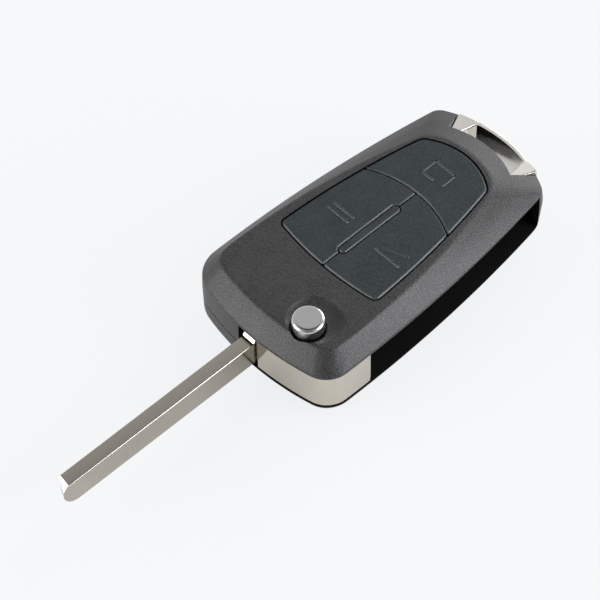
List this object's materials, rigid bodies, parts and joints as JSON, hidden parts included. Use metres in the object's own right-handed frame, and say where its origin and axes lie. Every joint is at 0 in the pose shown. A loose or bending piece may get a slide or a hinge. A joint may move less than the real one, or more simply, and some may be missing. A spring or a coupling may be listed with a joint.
{
  "type": "flip key remote",
  "caption": "Car key with remote buttons: a bowed plastic housing with a blade that swings out of its side, a round release button over the pivot and a metal key-ring loop at the rear.",
  "frame": {"origin": "on the pivot axis of the blade, at the housing's flat back", "axes": "+Z out of the back towards the keys, the open blade points along -X, the key-ring loop is at +X, the blade folds into the side at -Y"},
  "size_m": [0.114, 0.0377, 0.019],
  "materials": {
    "shell_plastic": "finely grained black moulding",
    "frame_plastic": "smooth dark moulding",
    "key_rubber": "soft-touch, blue-black",
    "polished_plating": "satin plated",
    "nickel": "satin nickel plate, warm",
    "spring_steel": "drawn wire",
    "cell_steel": "pressed stainless steel",
    "contact_metal": "plated strip",
    "board_laminate": "green solder mask",
    "chip_plastic": "black moulding"
  },
  "bodies": {
    "housing": {"upper_shell": "shell_plastic", "lower_shell": "shell_plastic", "key_frame": "frame_plastic", "keyring_loop": "polished_plating", "circuit_board": "board_laminate", "coin_cell": "cell_steel", "positive_contact": "contact_metal", "negative_contact": "contact_metal", "transponder_block": "chip_plastic", "control_chip": "chip_plastic", "antenna_coil": "chip_plastic", "crystal": "cell_steel", "left_switch": "cell_steel", "right_switch": "cell_steel", "rear_switch": "cell_steel"},
    "blade": {"blade_head": "nickel", "key_blade": "nickel", "blade_roll_pin": "spring_steel", "flip_spring": "spring_steel"},
    "release": {"release_button": "polished_plating"},
    "left_cap": {"left_key": "key_rubber", "left_plunger": "chip_plastic"},
    "right_cap": {"right_key": "key_rubber", "right_plunger": "chip_plastic"},
    "rear_cap": {"rear_key": "key_rubber", "rear_plunger": "chip_plastic"}
  },
  "joints": [
    {"name": "blade_flip", "type": "hinge", "parent": "housing", "child": "blade", "pos_m": [0, 0, 0], "axis": [0, 0, 1], "range_deg": [0, 184], "stiffness_Nm_per_rad": 0.002, "springref_deg": -85.94},
    {"name": "release_press", "type": "slide", "parent": "blade", "child": "release", "axis": [0, 0, -1], "range_m": [0, 0.0018], "stiffness_N_per_m": 600, "springref_m": -0.001, "deforming": ["flip_spring"]},
    {"name": "left_press", "type": "slide", "parent": "housing", "child": "left_cap", "axis": [0, 0, -1], "range_m": [0, 0.0004], "stiffness_N_per_m": 4000, "springref_m": -0.0001},
    {"name": "right_press", "type": "slide", "parent": "housing", "child": "right_cap", "axis": [0, 0, -1], "range_m": [0, 0.0004], "stiffness_N_per_m": 4000, "springref_m": -0.0001},
    {"name": "rear_press", "type": "slide", "parent": "housing", "child": "rear_cap", "axis": [0, 0, -1], "range_m": [0, 0.0004], "stiffness_N_per_m": 4000, "springref_m": -0.0001}
  ]
}
